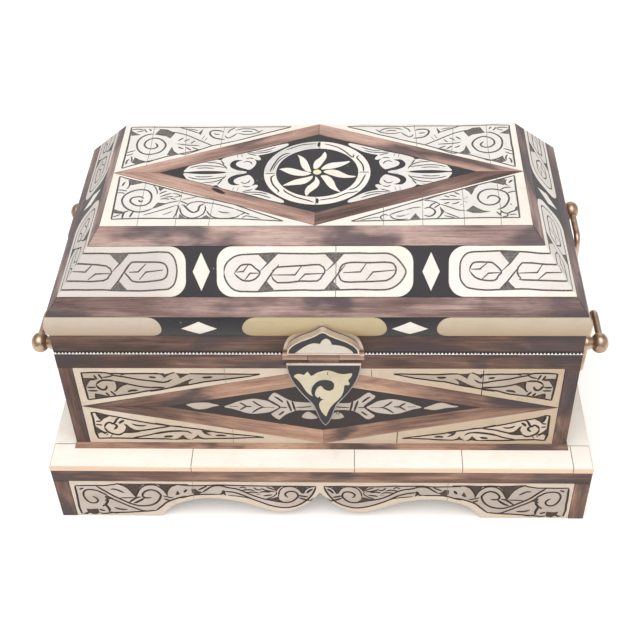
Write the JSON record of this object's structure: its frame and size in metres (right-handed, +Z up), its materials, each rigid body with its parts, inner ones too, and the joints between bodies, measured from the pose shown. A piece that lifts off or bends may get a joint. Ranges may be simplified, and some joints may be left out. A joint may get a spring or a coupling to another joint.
{
  "type": "inlaid trunk",
  "caption": "Small hip-lidded trunk of wood inlaid with engraved bone, on a scalloped plinth, with a hinged lid, a front hasp and swinging end handles.",
  "frame": {"origin": "on the floor under the middle of the trunk", "axes": "+X to the right along the width, +Y to the back, +Z up"},
  "size_m": [0.34, 0.194, 0.1978],
  "materials": {
    "walnut": "satin waxed reddish brown wood with dark streaks",
    "carcass_wood": "plain planed wood",
    "bone": "polished ivory-coloured bone with engraved dark lines",
    "band_bone": "polished yellowish bone",
    "black_ground": "satin charcoal black",
    "brass": "aged reddish brass",
    "rim_metal": "bright toothed strip"
  },
  "bodies": {
    "case": {"plinth_wood_rails": "walnut", "plinth_corner_stiles": "walnut", "case_border_rails": "walnut", "case_border_stiles": "walnut", "case_lozenge_frames": "walnut", "side_lozenge_frames": "walnut", "plinth_long_aprons": "carcass_wood", "plinth_short_aprons": "carcass_wood", "plinth_deck": "carcass_wood", "case_front_wall": "carcass_wood", "case_back_wall": "carcass_wood", "case_left_wall": "carcass_wood", "case_right_wall": "carcass_wood", "case_bottom": "carcass_wood", "plinth_ledge_tiles": "bone", "apron_bone_front": "bone", "apron_bone_back": "bone", "apron_bone_sides": "bone", "case_bone_corners": "bone", "side_bone_corners": "bone", "case_sprig_inlays": "bone", "side_sprig_inlays": "bone", "case_black_lozenges": "black_ground", "side_black_lozenges": "black_ground", "hinge_case_leaves": "brass", "hinge_pins": "brass", "hinge_case_screws": "brass", "handle_posts": "brass", "handle_nuts": "brass", "rim_strips": "rim_metal"},
    "lid": {"lid_long_rims": "carcass_wood", "lid_short_rims": "carcass_wood", "lid_long_slopes": "carcass_wood", "lid_short_slopes": "carcass_wood", "lid_top_board": "carcass_wood", "lid_lower_strips": "walnut", "lid_band_bone": "band_bone", "lid_band_black": "black_ground", "slope_wood_strips": "walnut", "slope_cartouches": "bone", "slope_black_spacers": "black_ground", "lid_diamonds": "bone", "top_bone_corners": "bone", "top_lozenge_frame": "walnut", "top_black_lozenge": "black_ground", "top_ring": "bone", "top_flower": "bone", "top_palmettes": "bone", "hinge_lid_leaves": "brass", "hinge_lid_screws": "brass", "hasp_dome": "brass", "hasp_dome_black": "black_ground", "hasp_dome_bone": "bone", "hasp_pin": "brass"},
    "hasp_flap": {"hasp_flap": "brass", "hasp_flap_black": "black_ground", "hasp_flap_bone": "bone"},
    "left_bail": {"left_bail": "brass"},
    "right_bail": {"right_bail": "brass"}
  },
  "joints": [
    {"name": "lid_hinge", "type": "hinge", "parent": "case", "child": "lid", "pos_m": [0, 0.0838, 0.1305], "axis": [-1, 0, 0], "range_deg": [0, 105]},
    {"name": "hasp_hinge", "type": "hinge", "parent": "lid", "child": "hasp_flap", "pos_m": [0.0042, -0.0839, 0.1316], "axis": [-1, 0, 0], "range_deg": [0, 110]},
    {"name": "left_bail_swing", "type": "hinge", "parent": "case", "child": "left_bail", "pos_m": [-0.164, 0, 0.121], "axis": [0, 1, 0], "range_deg": [-10, 180]},
    {"name": "right_bail_swing", "type": "hinge", "parent": "case", "child": "right_bail", "pos_m": [0.164, 0, 0.121], "axis": [0, -1, 0], "range_deg": [-10, 180]}
  ]
}
